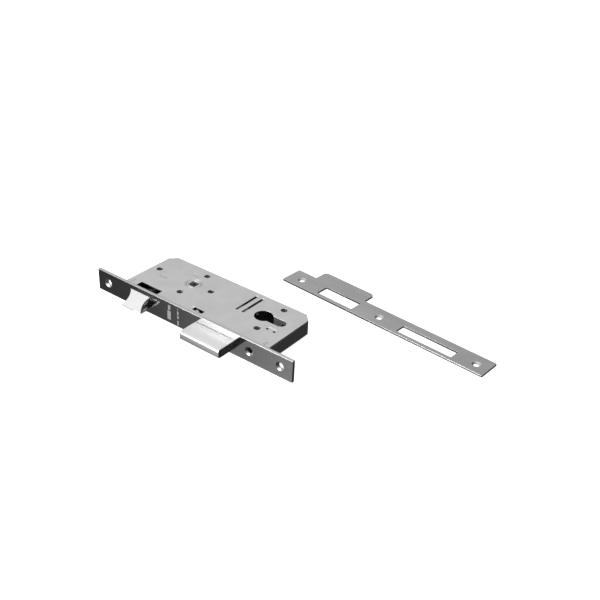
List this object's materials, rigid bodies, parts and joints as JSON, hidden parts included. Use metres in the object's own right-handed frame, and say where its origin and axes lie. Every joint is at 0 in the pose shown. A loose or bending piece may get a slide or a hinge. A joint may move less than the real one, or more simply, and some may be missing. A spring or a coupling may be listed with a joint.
{
  "type": "mortise lock",
  "caption": "Mortise lock with a sprung reversible latch, a thrown deadbolt, a square-drive follower and a euro-profile cut-out, with its lipped strike plate.",
  "frame": {"origin": "middle of the forend's front face", "axes": "+X along the forend from the latch end to the cylinder end, +Y from the forend into the door, +Z through the case from the tray to the cover; the lock lies on its side"},
  "size_m": [0.3564, 0.1905, 0.022],
  "materials": {
    "zinc_plated_steel": "matte zinc-plated pressed sheet",
    "brushed_forend_steel": "brushed lengthwise, nearly mirror bright",
    "strike_steel": "brushed lengthwise, satin",
    "nickel_plated_zamak": "bright nickel plate on a die casting",
    "nickel_plated_steel": "bright nickel plate",
    "phosphated_steel": "dark phosphated, lightly oiled",
    "spring_steel": "drawn spring wire"
  },
  "bodies": {
    "lock_case": {"forend": "brushed_forend_steel", "case_body": "zinc_plated_steel", "case_cover": "zinc_plated_steel", "fixing_sleeve_1": "phosphated_steel", "fixing_sleeve_2": "phosphated_steel", "fixing_sleeve_3": "phosphated_steel", "fixing_sleeve_4": "phosphated_steel", "fixing_sleeve_5": "phosphated_steel", "fixing_sleeve_6": "phosphated_steel", "latch_guide": "zinc_plated_steel", "case_spacer_back": "zinc_plated_steel", "case_spacer_latch": "zinc_plated_steel", "case_spacer_cylinder": "zinc_plated_steel", "cylinder_screw_guide": "zinc_plated_steel", "cylinder_cradle": "zinc_plated_steel", "follower_bush_top": "zinc_plated_steel", "follower_bush_bottom": "zinc_plated_steel", "follower_spring_seat": "phosphated_steel", "bolt_guide_pin": "phosphated_steel", "tumbler_pivot": "phosphated_steel", "latch_spring": "spring_steel", "follower_spring": "spring_steel", "tumbler_spring": "spring_steel"},
    "latch": {"latch_head": "nickel_plated_zamak", "latch_tail": "phosphated_steel"},
    "follower": {"follower": "zinc_plated_steel"},
    "deadbolt": {"deadbolt_head": "nickel_plated_steel", "deadbolt_tail": "phosphated_steel", "deadbolt_stump": "phosphated_steel", "deadbolt_rivet_1": "phosphated_steel", "deadbolt_rivet_2": "phosphated_steel"},
    "tumbler": {"tumbler": "phosphated_steel"},
    "strike_plate": {"strike_plate": "strike_steel"}
  },
  "joints": [
    {"name": "deadbolt_throw", "type": "slide", "parent": "lock_case", "child": "deadbolt", "axis": [0, 1, 0], "range_m": [0, 0.02]},
    {"name": "tumbler_lift", "type": "hinge", "parent": "lock_case", "child": "tumbler", "pos_m": [0.024, 0.065, 0], "axis": [0, 0, -1], "range_deg": [0, 25], "deforming": ["tumbler_spring"]},
    {"name": "follower_turn", "type": "hinge", "parent": "lock_case", "child": "follower", "pos_m": [-0.034, 0.0436, 0], "axis": [0, 0, -1], "range_deg": [0, 40], "stiffness_Nm_per_rad": 0.4, "springref_deg": -11.46, "deforming": ["follower_spring"]},
    {"name": "latch_slide", "type": "slide", "parent": "lock_case", "child": "latch", "axis": [0, 1, 0], "range_m": [0, 0.013], "deforming": ["latch_spring"]},
    {"name": "strike_lift", "type": "slide", "parent": "lock_case", "child": "strike_plate", "axis": [0, 0, 1], "range_m": [0, 0.04]}
  ],
  "couplings": [
    {"joint": "tumbler_lift", "follows": "deadbolt_throw", "rad_per_m": 21.5},
    {"joint": "latch_slide", "follows": "follower_turn", "m_per_rad": 0.0186}
  ]
}
